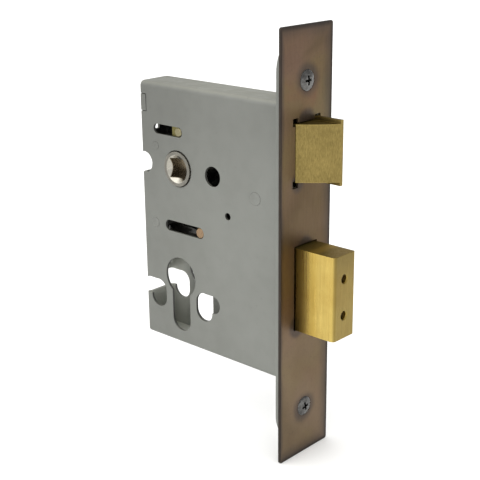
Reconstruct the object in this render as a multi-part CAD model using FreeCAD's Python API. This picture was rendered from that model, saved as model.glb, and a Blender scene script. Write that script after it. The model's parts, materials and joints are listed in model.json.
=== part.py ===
import FreeCAD, Part
import math
import os

# Mortise door lock with a sprung latch, a dead bolt and a profile-cylinder cutout.
# Millimetres.  The origin is on the spindle axis, half way through the case.
# +X points at the door's edge (the faceplate), -Y is the near side, +Z is up.

# Faceplate and inner forend
FACE_X = 62.5
FACE_THICK = 1.2
FACE_WIDTH = 30.2
FACE_TOP = 63.5
FACE_BOTTOM = -111.8
FACE_CORNER = 1.0
FACE_EDGE = 0.25
FOREND_THICK = 2.9
FOREND_WIDTH = 26.6
FOREND_TOP = 60.3
FOREND_BOTTOM = -105.3
FACE_BACK = FACE_X - FACE_THICK
FOREND_BACK = FACE_BACK - FOREND_THICK

# Forend screws
SCREW_HEIGHTS = (42.8, -91.2)
SCREW_R = 2.0
SCREW_NECK_R = 1.85
SCREW_HEAD_R = 4.0
SCREW_DOME = 0.8
SCREW_REACH = 8.0

# Case
CASE_HALF = 7.75
SHEET = 1.2
CASE_IN = CASE_HALF - SHEET
CASE_TOP = 34.8
CASE_BOTTOM = -78.9
PLATE_REAR = -21.1
WALL_REAR = -21.7
WALL_REAR_IN = WALL_REAR + SHEET
BEND_OUT = 2.2
BEND_IN = BEND_OUT - SHEET
COVER_BEND_OUT = 2.4
TENONS = ((-13.0, -4.0), (-72.0, -62.0))
TENON_REACH = 2.4
LUG_Z = (22.3, 29.2)
LUG_FRONT = -18.2
LUG_GAP = 0.3

# Openings through both side plates
HUB_HOLE_R = 7.8
FURNITURE_X = 20.0
FURNITURE_R = 4.2
REAR_NOTCH_R = 4.5
LATCH_Z = 15.5
LATCH_SLOT = (-13.8, 3.0)
LATCH_SLOT_R = 2.1
BOLT_PIN_Z = -25.7
BOLT_SLOT = (-8.3, 14.3)
BOLT_SLOT_R = 2.4
CYL_Z = -48.0
CYL_R = 8.75
CYL_SLOT_HALF = 5.25
CYL_SLOT_BOTTOM = -72.7
FIXING_X = 13.8
FIXING_Z = (-60.1, -56.6)
FIXING_R = 4.6
FIXING_SIDE_X = 19.0
FIXING_SIDE_Z = -56.0
FIXING_SIDE_R = 3.9
ACCESS_X = 28.2
ACCESS_Z = -15.2
ACCESS_R = 1.5
REAR_WINDOW = (2.0, 13.0, 15.4)

# Posts between the side plates: x, z, body radius, spigot radius
POST_FRONT = (43.0, -5.0, 3.4, 2.7)
POST_REAR = (-14.5, -26.0, 2.6, 2.1)
POST_UPPER = (-13.0, 8.0, 2.3, 1.75)
FIT_GAP = 0.05
COVER_SCREW_R = 1.5
COVER_SCREW_HEAD_R = COVER_SCREW_R + SHEET
COVER_SCREW_LENGTH = 6.5

# Latch
LATCH_Y = (-6.4, 6.4)
LATCH_BODY_Z = (4.7, 27.1)
LATCH_FLANGE_Y = 4.9
LATCH_FLANGE_Z = (3.2, 28.6)
LATCH_TIP_X = FACE_X + 12.6
LATCH_REAR_X = 46.0
LATCH_BEVEL_X = FACE_X - 0.2
LATCH_BEVEL_BULGE = 0.45
LATCH_TIP_FLAT = 1.2
LATCH_OPENING = (6.8, 4.3, 27.5)
LATCH_EAR_Y = (4.9, 8.2)
LATCH_EAR_HEIGHT = 3.0
LATCH_EAR_RISE = 1.8
FOREND_LATCH_HALF = CASE_HALF
TAIL_HALF = 1.5
TAIL_Z = (12.7, 18.3)
TAIL_INSERT = 6.0
ROD_R = 2.4
ROD_START_X = 22.0
CROSSHEAD_X = (-4.0, 2.6)
CROSSHEAD_Z = (11.2, 19.8)
CROSSHEAD_HALF = 6.3
LATCH_PIN_X = 0.5
LATCH_PIN_R = 1.9
PIN_HALF = 7.6
GUIDE_X = (24.0, 26.0)
GUIDE_Z = (5.0, 27.0)
GUIDE_HOLE_R = 2.5
RIVET_R = 1.5

# Hub
HUB_R = 7.35
HUB_COLLAR_R = 9.0
HUB_COLLAR_HALF = 2.0
HUB_HALF = 8.35
HUB_SQUARE = 8.1
HUB_MOUTH_R = 6.0
LEVER_Y = (2.0, 6.2)
LEVER_EYE_R = 9.6
LEVER_ROOT = (5.6, 7.0)
LEVER_TIP = (5.3, 14.5)
LEVER_TIP_R = 2.5
LUG_ROOT = (-4.9, -6.5)
LUG_TIP = (-4.7, -12.1)
LUG_TIP_R = 2.4
LUG_HALF = 2.0

# Dead bolt
BOLT_HALF = 6.35
BOLT_Z = (-55.7, -21.4)
BOLT_TIP_X = FACE_X + 19.1
BOLT_REAR_X = 46.0
BOLT_CORNER = 1.6
BOLT_EDGE = 0.5
BOLT_OPENING = (6.9, -56.0, -20.9)
HARD_PIN_Z = (-31.2, -46.2)
HARD_PIN_R = 1.6
HARD_PIN_DEPTH = 16.0
HARD_PIN_SINK = 1.6
HARD_PIN_MOUTH = 0.35
BOLT_TAIL_Z = (-38.0, -22.5)
BOLT_TAIL_FRONT_X = 56.0
TALON_X = (3.5, 14.0)
TALON_TOP = -32.4
TOOTH_REAR_X = -1.0
STRIP_TOP = -29.0
TAIL_SHOULDER_X = 6.8
BOLT_PIN_X = 12.0
BOLT_PIN_R = 2.25
BOLT_RIVETS = ((51.0, -27.0), (51.0, -34.0))

# Detainer
DETAINER_Y = (2.2, 3.7)
DETAINER_EYE_R = 4.6
DETAINER_FRONT_X = 16.5
DETAINER_TOP = -20.5
DETAINER_BOTTOM = -36.5
WINDOW_X = (-8.8, 14.8)
WINDOW_TOP = -23.2
WINDOW_BOTTOM = (-28.6, -31.2)
DETAINER_TAB = (0.0, 1.2, 5.8, -19.0)

# Springs
LATCH_SPRING = (3.6, 0.45, 7)
HUB_SPRING = (2.2, 0.35, 8)
SEAT_X = (15.5, 17.0)
SEAT_Z = (-16.0, -8.5)
SEAT_FOOT = (31.5, -18.5, -12.0)
DETAINER_SPRING_R = 3.3
DETAINER_WIRE_R = 0.35
DETAINER_SPRING_Y = 4.8
DETAINER_LEG_RISE = 0.7

BEYOND = 5.0

Vec = FreeCAD.Vector
ALONG_X = Vec(1, 0, 0)
ALONG_Y = Vec(0, 1, 0)
ALONG_Z = Vec(0, 0, 1)


def block(x_span, y_span, z_span):
    """Box between three pairs of limits."""
    size = [span[1] - span[0] for span in (x_span, y_span, z_span)]
    return Part.makeBox(*size, Vec(x_span[0], y_span[0], z_span[0]))


def rod_y(x, z, radius, y_span):
    """Cylinder along Y."""
    return Part.makeCylinder(radius, y_span[1] - y_span[0], Vec(x, y_span[0], z), ALONG_Y)


def rod_x(y, z, radius, x_span):
    """Cylinder along X."""
    return Part.makeCylinder(radius, x_span[1] - x_span[0], Vec(x_span[0], y, z), ALONG_X)


def cone_x(z, x_span, radii):
    """Cone along X, at y = 0."""
    length = x_span[1] - x_span[0]
    return Part.makeCone(radii[0], radii[1], length, Vec(x_span[0], 0, z), ALONG_X)


def cone_y(x, z, y_span, radii):
    """Cone along Y."""
    length = y_span[1] - y_span[0]
    return Part.makeCone(radii[0], radii[1], length, Vec(x, y_span[0], z), ALONG_Y)


def join(shapes):
    """One solid from shapes that touch or overlap."""
    return shapes[0].multiFuse(shapes[1:]).removeSplitter()


def prism_y(corners, y_span):
    """Prism along Y from its corners (x, z)."""
    points = [Vec(x, y_span[0], z) for x, z in corners]
    outline = Part.makePolygon(points + points[:1])
    return Part.Face(outline).extrude(Vec(0, y_span[1] - y_span[0], 0))


def slot_y(x_span, z, radius, y_span):
    """Round-ended slot along X, cut through along Y."""
    middle = block((x_span[0] + radius, x_span[1] - radius), y_span, (z - radius, z + radius))
    ends = [rod_y(x, z, radius, y_span) for x in (x_span[0] + radius, x_span[1] - radius)]
    return join([middle] + ends)


def finger_y(root, tip, radius, y_span):
    """Parallel-sided finger from a root (x, z) to a round tip (x, z)."""
    reach = math.hypot(tip[0] - root[0], tip[1] - root[1])
    side_x = radius * (tip[1] - root[1]) / reach
    side_z = -radius * (tip[0] - root[0]) / reach
    corners = [
        (root[0] + side_x, root[1] + side_z),
        (tip[0] + side_x, tip[1] + side_z),
        (tip[0] - side_x, tip[1] - side_z),
        (root[0] - side_x, root[1] - side_z),
    ]
    return join([prism_y(corners, y_span), rod_y(tip[0], tip[1], radius, y_span)])


def rounded(shape, radius, chosen):
    """Round the edges for which chosen(edge) is true."""
    return shape.makeFillet(radius, [edge for edge in shape.Edges if chosen(edge)])


def is_straight(edge, direction):
    """True for a straight edge that runs along the direction."""
    if not isinstance(edge.Curve, Part.Line):
        return False
    return edge.Curve.Direction.cross(direction).Length < 1e-6


def passes(edge, **limits):
    """True where the edge's middle lies at each stated coordinate."""
    middle = edge.CenterOfMass
    return all(abs(getattr(middle, axis) - value) < 1e-3 for axis, value in limits.items())


def coil_x(centre_z, x_span, mean_r, wire_r, turns):
    """Compression spring along X, at y = 0."""
    length = x_span[1] - x_span[0] - 2 * wire_r
    helix = Part.makeHelix(length / turns, length, mean_r)
    ring = Part.Wire(Part.makeCircle(wire_r, Vec(mean_r, 0, 0), ALONG_Y))
    coil = Part.Wire(helix.Edges).makePipeShell([ring], True, True)
    coil.rotate(Vec(0, 0, 0), ALONG_Y, 90)
    coil.translate(Vec(x_span[0] + wire_r, 0, centre_z))
    return coil


def cross_recess(top, radius, depth):
    """Cross-shaped driver recess that opens at the origin and goes down to -depth along Z."""
    width = 0.5 * radius
    half = radius + 0.2
    arms = join([
        block((-half, half), (-width / 2, width / 2), (-depth, top)),
        block((-width / 2, width / 2), (-half, half), (-depth, top)),
    ])
    bowl = Part.makeCone(0.45 * radius, radius, depth, Vec(0, 0, -depth), ALONG_Z)
    mouth = Part.makeCylinder(radius, top, Vec(0, 0, 0), ALONG_Z)
    return arms.common(join([bowl, mouth]))


# ---- case ----

def euro_cutout(y_span):
    """Profile-cylinder cutout: a circle with a round-ended slot below it."""
    slot_z = CYL_SLOT_BOTTOM + CYL_SLOT_HALF
    return join([
        rod_y(0, CYL_Z, CYL_R, y_span),
        block((-CYL_SLOT_HALF, CYL_SLOT_HALF), y_span, (slot_z, CYL_Z)),
        rod_y(0, slot_z, CYL_SLOT_HALF, y_span),
    ])


def fixing_cutout(side, y_span):
    """Lower fixing hole: an upright slot joined under a level top to a smaller circle further out."""
    x = side * FIXING_X
    side_x = side * FIXING_SIDE_X
    level = (FIXING_SIDE_Z, FIXING_SIDE_Z + FIXING_SIDE_R)
    return join([
        rod_y(x, FIXING_Z[0], FIXING_R, y_span),
        rod_y(x, FIXING_Z[1], FIXING_R, y_span),
        block((x - FIXING_R, x + FIXING_R), y_span, FIXING_Z),
        block(sorted((x, side_x)), y_span, level),
        rod_y(side_x, FIXING_SIDE_Z, FIXING_SIDE_R, y_span),
    ])


def side_openings(y_span):
    """Every opening that the two side plates share."""
    return [
        rod_y(0, 0, HUB_HOLE_R, y_span),
        rod_y(FURNITURE_X, 0, FURNITURE_R, y_span),
        rod_y(-FURNITURE_X, 0, REAR_NOTCH_R, y_span),
        slot_y(LATCH_SLOT, LATCH_Z, LATCH_SLOT_R, y_span),
        slot_y(BOLT_SLOT, BOLT_PIN_Z, BOLT_SLOT_R, y_span),
        euro_cutout(y_span),
        fixing_cutout(1, y_span),
        fixing_cutout(-1, y_span),
    ]


def tenons(y_span):
    """Tongues at a side plate's front edge that sit in the forend."""
    return [block((FOREND_BACK - 1, FOREND_BACK + TENON_REACH), y_span, z_span) for z_span in TENONS]


def case_body():
    """Near side plate with the top and bottom walls folded from it."""
    outside = block((PLATE_REAR, FOREND_BACK), (-CASE_HALF, CASE_HALF), (CASE_BOTTOM, CASE_TOP))
    outside = rounded(outside, BEND_OUT, lambda e: is_straight(e, ALONG_X) and passes(e, y=-CASE_HALF))
    inside = block(
        (PLATE_REAR - 1, FOREND_BACK + 1),
        (-CASE_IN, CASE_HALF + 1),
        (CASE_BOTTOM + SHEET, CASE_TOP - SHEET),
    )
    inside = rounded(inside, BEND_IN, lambda e: is_straight(e, ALONG_X) and passes(e, y=-CASE_IN))
    near = (-CASE_HALF, -CASE_IN)
    through = (-CASE_HALF - 1, -CASE_IN + 1)
    folded = join([outside.cut(inside)] + tenons(near))
    openings = side_openings(through)
    openings.append(rod_y(ACCESS_X, ACCESS_Z, ACCESS_R, through))
    openings.append(block(
        (PLATE_REAR - 1, LUG_FRONT + LUG_GAP),
        through,
        (LUG_Z[0] - LUG_GAP, LUG_Z[1] + LUG_GAP),
    ))
    for x, z, _, spigot_r in (POST_FRONT, POST_REAR, POST_UPPER):
        openings.append(rod_y(x, z, spigot_r + FIT_GAP, through))
    return folded.cut(openings)


def case_cover():
    """Far side plate with the rear wall folded from it, and the lug that locks into the near plate."""
    z_span = (CASE_BOTTOM + SHEET, CASE_TOP - SHEET)
    outside = block((WALL_REAR, FOREND_BACK), (-CASE_IN, CASE_HALF), z_span)
    outside = rounded(
        outside, COVER_BEND_OUT,
        lambda e: is_straight(e, ALONG_Z) and passes(e, x=WALL_REAR, y=CASE_HALF),
    )
    inside = block(
        (WALL_REAR_IN, FOREND_BACK + 1),
        (-CASE_IN - 1, CASE_IN),
        (z_span[0] - 1, z_span[1] + 1),
    )
    inside = rounded(
        inside, COVER_BEND_OUT - SHEET,
        lambda e: is_straight(e, ALONG_Z) and passes(e, x=WALL_REAR_IN, y=CASE_IN),
    )
    lug = block((WALL_REAR, LUG_FRONT), (-CASE_HALF, -CASE_IN), LUG_Z)
    lug = rounded(lug, 1.0, lambda e: is_straight(e, ALONG_Z) and passes(e, x=WALL_REAR, y=-CASE_HALF))
    cover = join([outside.cut(inside), lug] + tenons((CASE_IN, CASE_HALF)))
    openings = side_openings((CASE_IN - 1, CASE_HALF + 1))
    across = (-CASE_IN - 1, CASE_HALF + 1)
    behind = (WALL_REAR - 1, WALL_REAR_IN + 1)
    openings.append(block(behind, across, (-REAR_NOTCH_R, REAR_NOTCH_R)))
    side_half = FIXING_SIDE_R
    openings.append(block(behind, across, (FIXING_SIDE_Z - side_half, FIXING_SIDE_Z + side_half)))
    window_half, window_low, window_high = REAR_WINDOW
    openings.append(block(behind, (-window_half, window_half), (window_low, window_high)))
    openings.append(rod_y(ACCESS_X, ACCESS_Z, ACCESS_R + FIT_GAP, (CASE_IN - 1, CASE_HALF + 1)))
    for x, z, _, _ in (POST_FRONT, POST_REAR, POST_UPPER):
        openings.append(cover_screw_seat(x, z))
    for z in z_span:
        inward = -BEND_IN if z > 0 else BEND_IN
        openings.append(corner_relief(z, inward))
    return cover.cut(openings)


def cover_screw_seat(x, z):
    """Countersunk hole in the far side plate."""
    shank_r = COVER_SCREW_R + FIT_GAP
    head_r = COVER_SCREW_HEAD_R + FIT_GAP
    return join([
        rod_y(x, z, shank_r, (CASE_IN - 1, CASE_HALF + 1)),
        cone_y(x, z, (CASE_HALF - head_r + shank_r, CASE_HALF), (shank_r, head_r)),
        rod_y(x, z, head_r, (CASE_HALF, CASE_HALF + 1)),
    ])


def corner_relief(z, inward):
    """Wedge that clears the rear wall's near corner from the case body's fold."""
    past_z = z - math.copysign(1, inward)
    corners = [
        Vec(WALL_REAR - 1, -CASE_IN - 1, past_z),
        Vec(WALL_REAR - 1, -CASE_IN + BEND_IN, past_z),
        Vec(WALL_REAR - 1, -CASE_IN + BEND_IN, z),
        Vec(WALL_REAR - 1, -CASE_IN, z + inward),
        Vec(WALL_REAR - 1, -CASE_IN - 1, z + inward),
    ]
    return Part.Face(Part.makePolygon(corners + corners[:1])).extrude(Vec(2 + SHEET, 0, 0))


def post(x, z, body_r, spigot_r):
    """Spacer staked into the near plate and tapped for a cover screw."""
    body = rod_y(x, z, body_r, (-CASE_IN, CASE_IN))
    spigot = rod_y(x, z, spigot_r, (-CASE_HALF, -CASE_IN))
    stake = cone_y(x, z, (-CASE_HALF, -CASE_HALF + 0.2), (0.75 * spigot_r, 0.2 * spigot_r))
    tapped = rod_y(x, z, COVER_SCREW_R + FIT_GAP, (CASE_HALF - COVER_SCREW_LENGTH - 0.5, CASE_IN))
    return join([body, spigot]).cut([stake, tapped])


def cover_screws():
    """Three countersunk screws through the far plate into the posts."""
    screws = []
    for x, z, _, _ in (POST_FRONT, POST_REAR, POST_UPPER):
        head_depth = COVER_SCREW_HEAD_R - COVER_SCREW_R
        screw = join([
            rod_y(x, z, COVER_SCREW_R, (CASE_HALF - COVER_SCREW_LENGTH, CASE_HALF - head_depth)),
            cone_y(x, z, (CASE_HALF - head_depth, CASE_HALF), (COVER_SCREW_R, COVER_SCREW_HEAD_R)),
        ])
        recess = cross_recess(0.5, 1.5, 1.2)
        recess.rotate(Vec(0, 0, 0), ALONG_X, -90)
        recess.translate(Vec(x, CASE_HALF, z))
        screws.append(screw.cut(recess))
    return Part.makeCompound(screws)


def latch_guide():
    """Bracket that carries the latch rod and takes the latch spring's thrust."""
    plate = block(GUIDE_X, (-CASE_IN, CASE_IN), GUIDE_Z)
    return plate.cut(rod_x(0, LATCH_Z, GUIDE_HOLE_R, (GUIDE_X[0] - 1, GUIDE_X[1] + 1)))


def spring_seat():
    """Angle bracket on the far plate that takes the hub spring's thrust."""
    upright = block(SEAT_X, (-5.0, CASE_IN), SEAT_Z)
    foot_x, foot_low, foot_high = SEAT_FOOT
    foot = block((SEAT_X[0], foot_x), (CASE_IN - SHEET, CASE_IN), (foot_low, foot_high))
    hole = rod_y(ACCESS_X, ACCESS_Z, ACCESS_R + FIT_GAP, (CASE_IN - SHEET - 1, CASE_IN + 1))
    return join([upright, foot]).cut(hole)


def seat_rivet():
    """Rivet that holds the spring seat to the far plate."""
    head = rod_y(ACCESS_X, ACCESS_Z, 2.6, (CASE_IN - SHEET - 0.9, CASE_IN - SHEET))
    head = rounded(head, 0.6, lambda e: passes(e, y=CASE_IN - SHEET - 0.9))
    shank = rod_y(ACCESS_X, ACCESS_Z, ACCESS_R, (CASE_IN - SHEET, CASE_HALF))
    return join([head, shank])


# ---- forend ----

def forend_openings(x_span):
    """Openings for the latch and the dead bolt, as the faceplate has them."""
    half, low, high = LATCH_OPENING
    inner, outer = LATCH_EAR_Y
    bolt_half, bolt_low, bolt_high = BOLT_OPENING
    ears = []
    for z in (low - LATCH_EAR_RISE, high + LATCH_EAR_RISE - LATCH_EAR_HEIGHT):
        ears.append(block(x_span, (-outer, -inner), (z, z + LATCH_EAR_HEIGHT)))
        ears.append(block(x_span, (inner, outer), (z, z + LATCH_EAR_HEIGHT)))
    return ears + [
        block(x_span, (-half, half), (low, high)),
        block(x_span, (-bolt_half, bolt_half), (bolt_low, bolt_high)),
    ]


def faceplate():
    """Visible plate on the door's edge."""
    half = FACE_WIDTH / 2
    plate = block((FACE_BACK, FACE_X), (-half, half), (FACE_BOTTOM, FACE_TOP))
    plate = rounded(plate, FACE_CORNER, lambda e: is_straight(e, ALONG_X))
    plate = rounded(plate, FACE_EDGE, lambda e: abs(e.CenterOfMass.x - FACE_X) < 1e-3)
    holes = forend_openings((FACE_BACK - 1, FACE_X + 1))
    head_gap = SCREW_HEAD_R + 0.2
    for z in SCREW_HEIGHTS:
        holes.append(cone_x(z, (FACE_BACK, FACE_X), (head_gap - FACE_THICK, head_gap)))
        holes.append(rod_x(0, z, head_gap, (FACE_X, FACE_X + 1)))
    return plate.cut(holes)


def inner_forend():
    """Steel forend behind the faceplate, to which the case is riveted."""
    half = FOREND_WIDTH / 2
    x_span = (FOREND_BACK, FACE_BACK)
    plate = join([
        block(x_span, (-half, half), (FOREND_BOTTOM + half, FOREND_TOP - half)),
        rod_x(0, FOREND_TOP - half, half, x_span),
        rod_x(0, FOREND_BOTTOM + half, half, x_span),
    ])
    through = (FOREND_BACK - 1, FACE_BACK + 1)
    latch_low = LATCH_OPENING[1] - LATCH_EAR_RISE - 0.3
    latch_high = LATCH_OPENING[2] + LATCH_EAR_RISE + 0.3
    bolt_half, bolt_low, bolt_high = BOLT_OPENING
    holes = [
        block(through, (-FOREND_LATCH_HALF, FOREND_LATCH_HALF), (latch_low, latch_high)),
        block(through, (-bolt_half, bolt_half), (bolt_low - 0.3, bolt_high + 0.3)),
    ]
    for z_low, z_high in TENONS:
        for side in (-1, 1):
            edges = sorted((side * (CASE_IN - FIT_GAP), side * (CASE_HALF + FIT_GAP)))
            holes.append(block(through, edges, (z_low - FIT_GAP, z_high + FIT_GAP)))
    sink = SCREW_HEAD_R - SCREW_R - FACE_THICK + 0.1
    hole_r = SCREW_R + FIT_GAP
    for z in SCREW_HEIGHTS:
        holes.append(rod_x(0, z, hole_r, through))
        holes.append(cone_x(z, (FACE_BACK - sink, FACE_BACK), (hole_r, hole_r + sink)))
    return plate.cut(holes)


def faceplate_screws():
    """Two raised countersunk machine screws with cross recesses."""
    screws = []
    cone_depth = SCREW_HEAD_R - SCREW_R
    ball_r = (SCREW_HEAD_R ** 2 + SCREW_DOME ** 2) / (2 * SCREW_DOME)
    tip_x = FOREND_BACK - SCREW_REACH
    for z, turn in zip(SCREW_HEIGHTS, (4, 13)):
        ball = Part.makeSphere(ball_r, Vec(FACE_X + SCREW_DOME - ball_r, 0, z))
        half = 2 * SCREW_HEAD_R
        cap_space = block((FACE_X, FACE_X + BEYOND), (-half, half), (z - half, z + half))
        screw = join([
            cone_x(z, (tip_x, tip_x + 0.5), (SCREW_R - 0.5, SCREW_R)),
            rod_x(0, z, SCREW_R, (tip_x + 0.5, FOREND_BACK)),
            rod_x(0, z, SCREW_NECK_R, (FOREND_BACK, FACE_X - cone_depth)),
            cone_x(z, (FACE_X - cone_depth, FACE_X), (SCREW_R, SCREW_HEAD_R)),
            ball.common(cap_space),
        ])
        recess = cross_recess(1.0, 2.0, 2.0)
        recess.rotate(Vec(0, 0, 0), ALONG_Z, turn)
        recess.rotate(Vec(0, 0, 0), ALONG_Y, 90)
        recess.translate(Vec(FACE_X + SCREW_DOME, 0, z))
        screws.append(screw.cut(recess))
    return Part.makeCompound(screws)


# ---- latch ----

def latch_outline():
    """Face in the XY plane: the bevel rises from the near side to the tip."""
    near, far = LATCH_Y
    start = Vec(LATCH_BEVEL_X, near, 0)
    end = Vec(LATCH_TIP_X, far - LATCH_TIP_FLAT, 0)
    chord = end - start
    outward = Vec(chord.y, -chord.x, 0).normalize()
    middle = (start + end) * 0.5 + outward * LATCH_BEVEL_BULGE
    corners = [
        end,
        Vec(LATCH_TIP_X, far, 0),
        Vec(LATCH_REAR_X, far, 0),
        Vec(LATCH_REAR_X, near, 0),
        start,
    ]
    edges = [Part.Arc(start, middle, end).toShape()]
    edges += [Part.LineSegment(a, b).toShape() for a, b in zip(corners, corners[1:])]
    return Part.Face(Part.Wire(edges))


def latch_head():
    """Bevelled latch with a wider rib along its straight side."""
    outline = latch_outline()
    core = outline.extrude(Vec(0, 0, LATCH_BODY_Z[1] - LATCH_BODY_Z[0]))
    core.translate(Vec(0, 0, LATCH_BODY_Z[0]))
    tall = outline.extrude(Vec(0, 0, LATCH_FLANGE_Z[1] - LATCH_FLANGE_Z[0]))
    tall.translate(Vec(0, 0, LATCH_FLANGE_Z[0]))
    rib_space = block(
        (LATCH_REAR_X, LATCH_TIP_X + 1),
        (LATCH_FLANGE_Y, LATCH_Y[1] + 1),
        LATCH_FLANGE_Z,
    )
    head = join([core, tall.common(rib_space)])
    head = rounded(head, 0.5, lambda e: is_straight(e, ALONG_Z) and passes(e, x=LATCH_TIP_X))
    socket = block((LATCH_REAR_X - 1, LATCH_REAR_X + TAIL_INSERT), (-TAIL_HALF, TAIL_HALF), TAIL_Z)
    rivet = rod_y(LATCH_REAR_X + TAIL_INSERT / 2, LATCH_Z, RIVET_R + FIT_GAP, (-BEYOND * 2, BEYOND * 2))
    return head.cut([socket, rivet])


def latch_tail():
    """Flat bar with a round middle on which the latch spring sits."""
    flat_y = (-TAIL_HALF, TAIL_HALF)
    bar = join([
        block((CROSSHEAD_X[0], ROD_START_X + 0.5), flat_y, TAIL_Z),
        rod_x(0, LATCH_Z, ROD_R, (ROD_START_X, LATCH_REAR_X)),
        block((LATCH_REAR_X, LATCH_REAR_X + TAIL_INSERT), flat_y, TAIL_Z),
    ])
    rivet = rod_y(LATCH_REAR_X + TAIL_INSERT / 2, LATCH_Z, RIVET_R + FIT_GAP, (-BEYOND, BEYOND))
    pin = rod_y(LATCH_PIN_X, LATCH_Z, LATCH_PIN_R + FIT_GAP, (-BEYOND, BEYOND))
    return bar.cut([rivet, pin])


def latch_rivet():
    """Rivet that holds the tail in the latch."""
    return rod_y(LATCH_REAR_X + TAIL_INSERT / 2, LATCH_Z, RIVET_R, (LATCH_Y[0] + 0.1, LATCH_Y[1] - 0.1))


def latch_crosshead():
    """Block at the tail's rear end that the hub's levers push."""
    body = block(CROSSHEAD_X, (-CROSSHEAD_HALF, CROSSHEAD_HALF), CROSSHEAD_Z)
    body = rounded(body, 0.6, lambda e: is_straight(e, ALONG_Y))
    slot = block((CROSSHEAD_X[0] - 1, CROSSHEAD_X[1] + 1), (-TAIL_HALF, TAIL_HALF), TAIL_Z)
    pin = rod_y(LATCH_PIN_X, LATCH_Z, LATCH_PIN_R + FIT_GAP, (-BEYOND * 2, BEYOND * 2))
    return body.cut([slot, pin])


def guide_pin(x, z, radius):
    """Cross pin whose ends run in the side plates' slots."""
    pin = rod_y(x, z, radius, (-PIN_HALF, PIN_HALF))
    return pin.makeChamfer(0.3, [edge for edge in pin.Edges if isinstance(edge.Curve, Part.Circle)])


def latch_spring():
    """Compression spring between the guide and the latch."""
    mean_r, wire_r, turns = LATCH_SPRING
    return coil_x(LATCH_Z, (GUIDE_X[1] + 0.02, LATCH_REAR_X - 0.02), mean_r, wire_r, turns)


# ---- hub ----

def hub():
    """Follower with the spindle's square hole and the lug for its return spring."""
    body = join([
        rod_y(0, 0, HUB_R, (-HUB_HALF, HUB_HALF)),
        rod_y(0, 0, HUB_COLLAR_R, (-HUB_COLLAR_HALF, HUB_COLLAR_HALF)),
        finger_y(LUG_ROOT, LUG_TIP, LUG_TIP_R, (-LUG_HALF, LUG_HALF)),
    ])
    half = HUB_SQUARE / 2
    inner = HUB_HALF - (HUB_MOUTH_R - half)
    through = (-HUB_HALF - 1, HUB_HALF + 1)
    return body.cut([
        block((-half, half), through, (-half, half)),
        cone_y(0, 0, (inner, HUB_HALF), (half, HUB_MOUTH_R)),
        cone_y(0, 0, (-HUB_HALF, -inner), (HUB_MOUTH_R, half)),
    ])


def hub_levers():
    """Two stamped levers pressed on the hub, one on each side of the latch tail."""
    levers = []
    for side in (-1, 1):
        y_span = sorted((side * LEVER_Y[0], side * LEVER_Y[1]))
        lever = join([
            rod_y(0, 0, LEVER_EYE_R, y_span),
            finger_y(LEVER_ROOT, LEVER_TIP, LEVER_TIP_R, y_span),
        ])
        levers.append(lever.cut(rod_y(0, 0, HUB_R + 0.02, (-HUB_HALF, HUB_HALF))))
    return Part.makeCompound(levers)


def hub_spring():
    """Compression spring between the hub's lug and its seat."""
    mean_r, wire_r, turns = HUB_SPRING
    start = LUG_TIP[0] + LUG_TIP_R + 0.02
    return coil_x(LUG_TIP[1], (start, SEAT_X[0] - 0.02), mean_r, wire_r, turns)


# ---- dead bolt ----

def deadbolt_head():
    """Solid bolt with two bores for hard pins in its end."""
    head = block((BOLT_REAR_X, BOLT_TIP_X), (-BOLT_HALF, BOLT_HALF), BOLT_Z)
    head = rounded(
        head, BOLT_CORNER,
        lambda e: is_straight(e, ALONG_Z) and passes(e, x=BOLT_TIP_X, y=-BOLT_HALF),
    )
    head = rounded(
        head, BOLT_EDGE,
        lambda e: is_straight(e, ALONG_Z) and passes(e, x=BOLT_TIP_X, y=BOLT_HALF),
    )
    tail = block((BOLT_REAR_X - 1, BOLT_TAIL_FRONT_X), (-TAIL_HALF, TAIL_HALF), BOLT_TAIL_Z)
    cuts = [tail]
    bore_r = HARD_PIN_R + FIT_GAP
    mouth_x = (BOLT_TIP_X - HARD_PIN_MOUTH, BOLT_TIP_X)
    for z in HARD_PIN_Z:
        cuts.append(rod_x(0, z, bore_r, (BOLT_TIP_X - HARD_PIN_DEPTH, BOLT_TIP_X + 1)))
        cuts.append(cone_x(z, mouth_x, (bore_r, bore_r + HARD_PIN_MOUTH)))
    for x, z in BOLT_RIVETS:
        cuts.append(rod_y(x, z, RIVET_R + FIT_GAP, (-BEYOND * 2, BEYOND * 2)))
    return head.cut(cuts)


def deadbolt_hard_pins():
    """Two hardened pins sunk in the bolt's end against sawing."""
    span = (BOLT_TIP_X - HARD_PIN_DEPTH, BOLT_TIP_X - HARD_PIN_SINK)
    return Part.makeCompound([rod_x(0, z, HARD_PIN_R, span) for z in HARD_PIN_Z])


def deadbolt_tail():
    """Steel tail with the talon notch that the cylinder's cam turns in."""
    low, high = BOLT_TAIL_Z
    plate = prism_y([
        (TOOTH_REAR_X, low),
        (TALON_X[0], low),
        (TALON_X[0], TALON_TOP),
        (TALON_X[1], TALON_TOP),
        (TALON_X[1], low),
        (BOLT_TAIL_FRONT_X, low),
        (BOLT_TAIL_FRONT_X, high),
        (TAIL_SHOULDER_X, high),
        (TAIL_SHOULDER_X, STRIP_TOP),
        (TOOTH_REAR_X, STRIP_TOP),
    ], (-TAIL_HALF, TAIL_HALF))
    holes = [rod_y(BOLT_PIN_X, BOLT_PIN_Z, BOLT_PIN_R + 0.01, (-BEYOND, BEYOND))]
    for x, z in BOLT_RIVETS:
        holes.append(rod_y(x, z, RIVET_R + FIT_GAP, (-BEYOND, BEYOND)))
    return plate.cut(holes)


def deadbolt_rivets():
    """Two rivets that hold the tail in the bolt."""
    y_span = (-BOLT_HALF + 0.1, BOLT_HALF - 0.1)
    return Part.makeCompound([rod_y(x, z, RIVET_R, y_span) for x, z in BOLT_RIVETS])


# ---- detainer ----

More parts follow.
